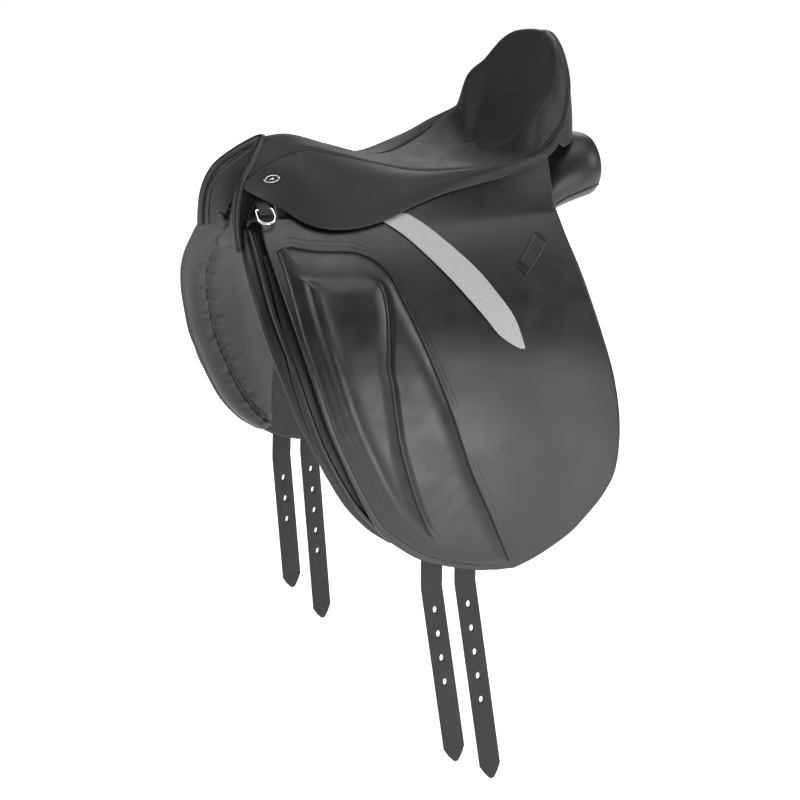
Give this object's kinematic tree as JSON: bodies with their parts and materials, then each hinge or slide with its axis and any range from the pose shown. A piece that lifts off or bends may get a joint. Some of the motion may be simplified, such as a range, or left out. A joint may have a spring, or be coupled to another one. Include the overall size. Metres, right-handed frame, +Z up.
{
  "type": "english saddle",
  "caption": "Dressage saddle: deep seat on a sprung tree, long flaps with thigh pads, padded panels, and long holed billet straps that hang below each flap.",
  "frame": {"origin": "middle of the channel between the two panels, below the seat, where the saddle rests on a rack", "axes": "+Z up; -Y to the front (pommel), +Y to the rear (cantle); +X to the near (left) side of the horse, where the rider mounts"},
  "size_m": [0.537, 0.509, 0.9159],
  "materials": {
    "smooth_leather": "black dressed cowhide, fine grain, soft sheen",
    "soft_leather": "black grained leather, matt",
    "panel_leather": "black soft calf leather, matt, slightly puckered along its seams",
    "strap_leather": "black bridle leather with waxed edges, matt to satin",
    "padding": "felt and latex padding, hidden",
    "webbing": "natural linen webbing, hidden",
    "tree_wood": "laminated beech, hidden",
    "plate_steel": "forged and polished steel",
    "bright_steel": "polished stainless steel",
    "tag": "pale grey satin ribbon, blank"
  },
  "bodies": {
    "saddle": {"tree_frame": "tree_wood", "head_plate": "plate_steel", "gullet_plate": "plate_steel", "girth_web_front": "webbing", "girth_web_rear": "webbing", "seat_foam": "padding", "seat_cover": "smooth_leather", "pommel_facing": "smooth_leather", "head_welt": "smooth_leather", "cantle_facing": "smooth_leather", "cantle_welt": "smooth_leather", "tree_spring_near": "plate_steel", "seat_web_near": "webbing", "stirrup_bar_near": "plate_steel", "skirt_near": "smooth_leather", "saddle_nail_near": "bright_steel", "dee_chape_near": "strap_leather", "flap_top_near": "smooth_leather", "girth_guard_near": "strap_leather", "sweat_flap_near": "soft_leather", "point_pocket_near": "soft_leather", "panel_cushion_near": "panel_leather", "panel_leg_near": "panel_leather", "tree_spring_far": "plate_steel", "seat_web_far": "webbing", "stirrup_bar_far": "plate_steel", "skirt_far": "smooth_leather", "saddle_nail_far": "bright_steel", "dee_chape_far": "strap_leather", "flap_top_far": "smooth_leather", "girth_guard_far": "strap_leather", "sweat_flap_far": "soft_leather", "point_pocket_far": "soft_leather", "panel_cushion_far": "panel_leather", "panel_leg_far": "panel_leather", "billet_root_front_near": "strap_leather", "billet_root_rear_near": "strap_leather", "billet_root_front_far": "strap_leather", "billet_root_rear_far": "strap_leather"},
    "flap_lift_near": {"flap_near": "smooth_leather", "thigh_pad_near": "smooth_leather", "flap_keeper_near": "strap_leather", "tag_strip": "tag"},
    "dee_near": {"dee_ring_near": "bright_steel"},
    "catch_near": {"bar_catch_near": "plate_steel"},
    "flap_lift_far": {"flap_far": "smooth_leather", "thigh_pad_far": "smooth_leather", "flap_keeper_far": "strap_leather"},
    "dee_far": {"dee_ring_far": "bright_steel"},
    "catch_far": {"bar_catch_far": "plate_steel"},
    "billet_end_front_near": {"billet_front_near": "strap_leather"},
    "billet_end_rear_near": {"billet_rear_near": "strap_leather"},
    "billet_end_front_far": {"billet_front_far": "strap_leather"},
    "billet_end_rear_far": {"billet_rear_far": "strap_leather"}
  },
  "joints": [
    {"name": "flap_hinge_near", "type": "hinge", "parent": "saddle", "child": "flap_lift_near", "pos_m": [0.118, 0, 0.024], "axis": [-0.1191, -0.9929, 0], "range_deg": [0, 65]},
    {"name": "dee_swing_near", "type": "hinge", "parent": "saddle", "child": "dee_near", "pos_m": [0.05755, -0.21747, 0.05879], "axis": [-0.1191, -0.9929, 0], "range_deg": [0, 55]},
    {"name": "catch_turn_near", "type": "hinge", "parent": "saddle", "child": "catch_near", "pos_m": [0.072, -0.0861, 0.051], "axis": [1, 0, 0], "range_deg": [0, 60]},
    {"name": "flap_hinge_far", "type": "hinge", "parent": "saddle", "child": "flap_lift_far", "pos_m": [-0.118, 0, 0.024], "axis": [-0.1191, 0.9929, 0], "range_deg": [0, 65]},
    {"name": "dee_swing_far", "type": "hinge", "parent": "saddle", "child": "dee_far", "pos_m": [-0.05755, -0.21747, 0.05879], "axis": [-0.1191, 0.9929, 0], "range_deg": [0, 55]},
    {"name": "catch_turn_far", "type": "hinge", "parent": "saddle", "child": "catch_far", "pos_m": [-0.072, -0.0861, 0.051], "axis": [1, 0, 0], "range_deg": [0, 60]},
    {"name": "billet_swing_front_near", "type": "hinge", "parent": "saddle", "child": "billet_end_front_near", "pos_m": [0.23469, -0.0717, -0.41224], "axis": [-0.1101, -0.9874, -0.1133], "range_deg": [-20, 40]},
    {"name": "billet_swing_front_far", "type": "hinge", "parent": "saddle", "child": "billet_end_front_far", "pos_m": [-0.23469, -0.0717, -0.41224], "axis": [-0.1101, 0.9874, 0.1133], "range_deg": [-20, 40]},
    {"name": "billet_swing_rear_near", "type": "hinge", "parent": "saddle", "child": "billet_end_rear_near", "pos_m": [0.24009, -0.0267, -0.41224], "axis": [-0.1101, -0.9874, -0.1133], "range_deg": [-20, 40]},
    {"name": "billet_swing_rear_far", "type": "hinge", "parent": "saddle", "child": "billet_end_rear_far", "pos_m": [-0.24009, -0.0267, -0.41224], "axis": [-0.1101, 0.9874, 0.1133], "range_deg": [-20, 40]}
  ]
}
